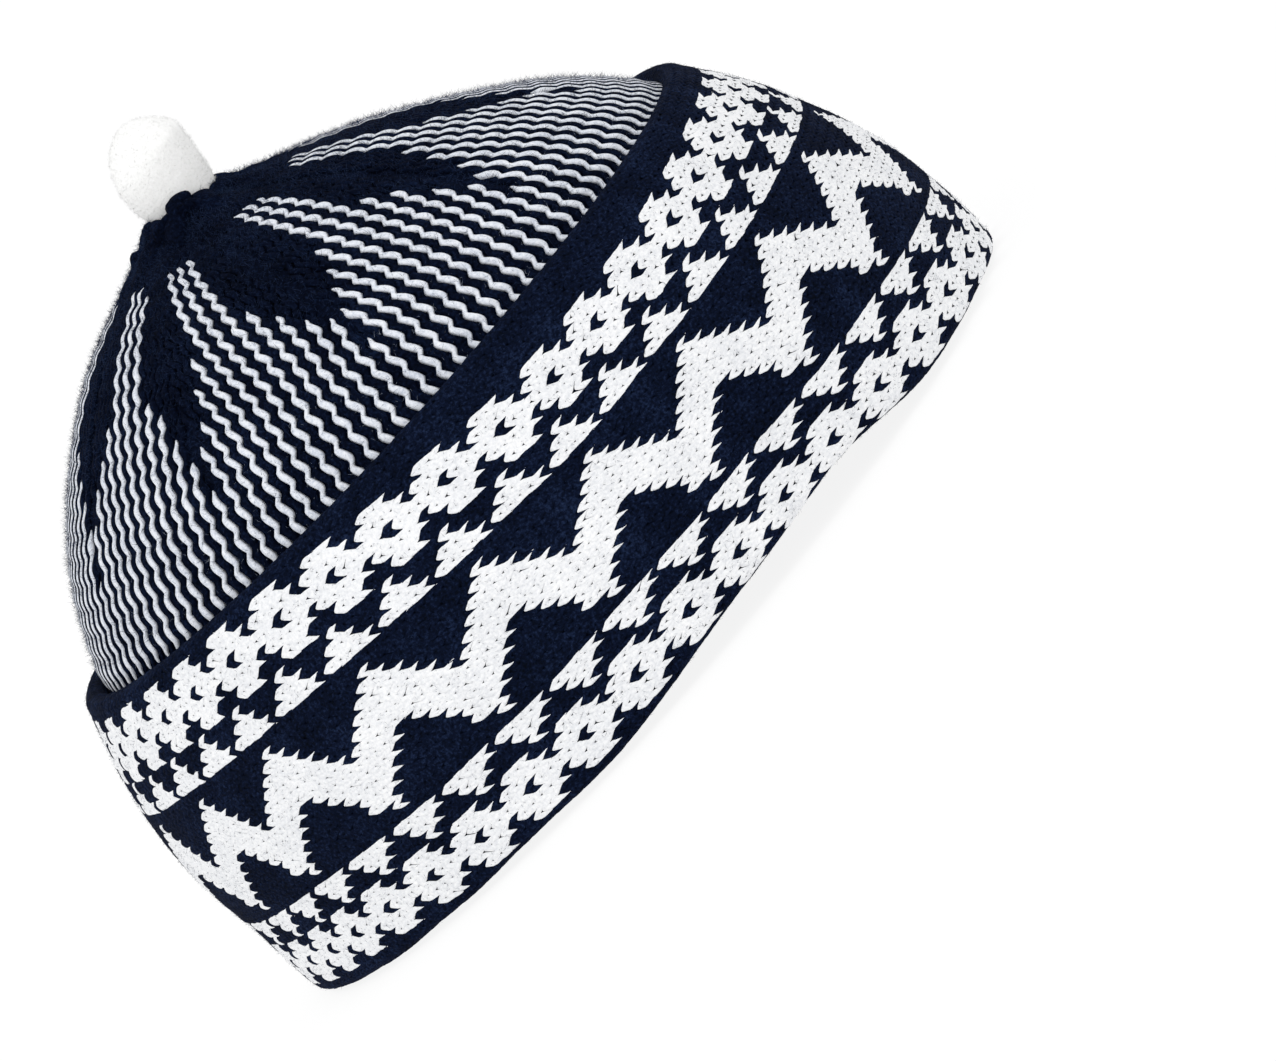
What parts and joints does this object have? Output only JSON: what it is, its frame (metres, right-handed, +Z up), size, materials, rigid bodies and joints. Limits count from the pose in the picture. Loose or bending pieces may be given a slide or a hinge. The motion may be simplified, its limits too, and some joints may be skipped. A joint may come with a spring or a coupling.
{
  "type": "knitted kufi cap with a pompom",
  "caption": "Round knitted cap: hollow dome crown, deep turned-up jacquard cuff with a thick rolled edge, and a small dense pompom on the gathered top.",
  "frame": {"origin": "on the floor at the centre of the rim, the fold that the cap stands on", "axes": "+Z up through the crown towards the pompom, -Y towards the front of the cap as pictured, +X to the right as seen from the front"},
  "size_m": [0.197, 0.197, 0.1409],
  "materials": {
    "crown_knit": "acrylic and wool yarn, navy with fine white wavy stripes, matt with a light fuzz",
    "cuff_knit": "two-colour jacquard knit, navy and white, matt, thick rolled edge",
    "pompom_yarn": "dense trimmed white yarn, soft and matt"
  },
  "bodies": {
    "root": {"crown": "crown_knit", "cuff": "cuff_knit", "pompom": "pompom_yarn"}
  },
  "joints": []
}
